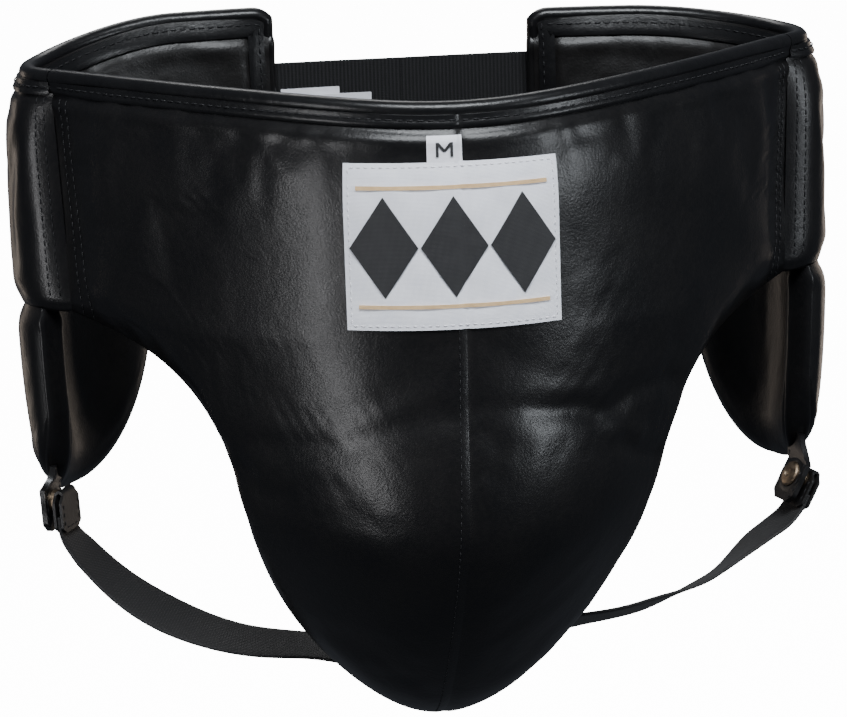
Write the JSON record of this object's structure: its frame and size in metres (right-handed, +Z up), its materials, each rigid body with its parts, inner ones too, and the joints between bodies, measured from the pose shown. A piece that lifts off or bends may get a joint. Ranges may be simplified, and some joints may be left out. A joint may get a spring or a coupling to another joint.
{
  "type": "groin protector",
  "caption": "Padded groin protector with a hard cup in a belly panel, two hip wings, an elastic waistband at the back and an elastic leg strap on each side.",
  "frame": {"origin": "centre of the waist opening, level with the top edge", "axes": "+X to the wearer's left, +Y to the wearer's back, +Z up; the front of the belly panel faces -Y"},
  "size_m": [0.35, 0.225, 0.2878],
  "materials": {
    "cover_leather": "glossy black cowhide, fine grain",
    "binding_leather": "glossy black leather tape, stitched",
    "strap_leather": "satin black leather",
    "lining": "satin black leather",
    "foam": "latex foam",
    "steel": "pressed steel",
    "edge_rubber": "matt rubber edge",
    "woven_patch": "woven white label with a gold line",
    "woven_tag": "woven white tape",
    "waist_webbing": "ribbed black elastic",
    "leg_webbing": "smooth black elastic",
    "stud_brass": "antique brass, worn"
  },
  "bodies": {
    "root": {"front_cover_left": "cover_leather", "front_cover_right": "cover_leather", "belly_foam": "foam", "cup_foam": "foam", "belly_lining": "lining", "cup_lining": "lining", "cup_shell": "steel", "cup_shell_edge": "edge_rubber", "front_binding": "binding_leather", "front_patch": "woven_patch", "size_tab": "woven_tag", "strap_anchor": "strap_leather", "waist_elastic": "waist_webbing", "leg_strap_left": "leg_webbing", "leg_strap_right": "leg_webbing"},
    "left_wing": {"side_cover_left": "cover_leather", "side_foam_left": "foam", "side_lining_left": "lining", "side_binding_left": "binding_leather", "hip_cover_left": "cover_leather", "hip_foam_left": "foam", "hip_lining_left": "lining", "hip_gusset_left": "cover_leather", "elastic_end_patch_left": "strap_leather", "hip_tab_left": "strap_leather", "snap_cap_left": "stud_brass", "snap_socket_left": "stud_brass", "care_tag_1": "woven_tag", "care_tag_2": "woven_tag"},
    "left_strap_end": {"snap_stud_left": "stud_brass", "snap_eyelet_left": "stud_brass", "strap_end_left": "leg_webbing"},
    "right_wing": {"side_cover_right": "cover_leather", "side_foam_right": "foam", "side_lining_right": "lining", "side_binding_right": "binding_leather", "hip_cover_right": "cover_leather", "hip_foam_right": "foam", "hip_lining_right": "lining", "hip_gusset_right": "cover_leather", "elastic_end_patch_right": "strap_leather", "hip_tab_right": "strap_leather", "snap_cap_right": "stud_brass", "snap_socket_right": "stud_brass"},
    "right_strap_end": {"snap_stud_right": "stud_brass", "snap_eyelet_right": "stud_brass", "strap_end_right": "leg_webbing"}
  },
  "joints": [
    {"name": "left_wing_flex", "type": "hinge", "parent": "root", "child": "left_wing", "pos_m": [-0.155, -0.012, -0.05], "axis": [0, 0, 1], "range_deg": [-8, 20], "stiffness_Nm_per_rad": 0.8, "deforming": ["leg_strap_left", "waist_elastic"]},
    {"name": "left_strap_swivel", "type": "hinge", "parent": "left_wing", "child": "left_strap_end", "pos_m": [-0.1645, -0.002, -0.184], "axis": [-0.8976, 0.4378, -0.0523], "range_deg": [-15, 15], "stiffness_Nm_per_rad": 0.02, "deforming": ["leg_strap_left"]},
    {"name": "right_wing_flex", "type": "hinge", "parent": "root", "child": "right_wing", "pos_m": [0.155, -0.012, -0.05], "axis": [0, 0, -1], "range_deg": [-8, 20], "stiffness_Nm_per_rad": 0.8, "deforming": ["leg_strap_right", "waist_elastic"]},
    {"name": "right_strap_swivel", "type": "hinge", "parent": "right_wing", "child": "right_strap_end", "pos_m": [0.1575, -0.002, -0.193], "axis": [0.8282, 0.2532, -0.5], "range_deg": [-15, 15], "stiffness_Nm_per_rad": 0.02, "deforming": ["leg_strap_right"]}
  ]
}
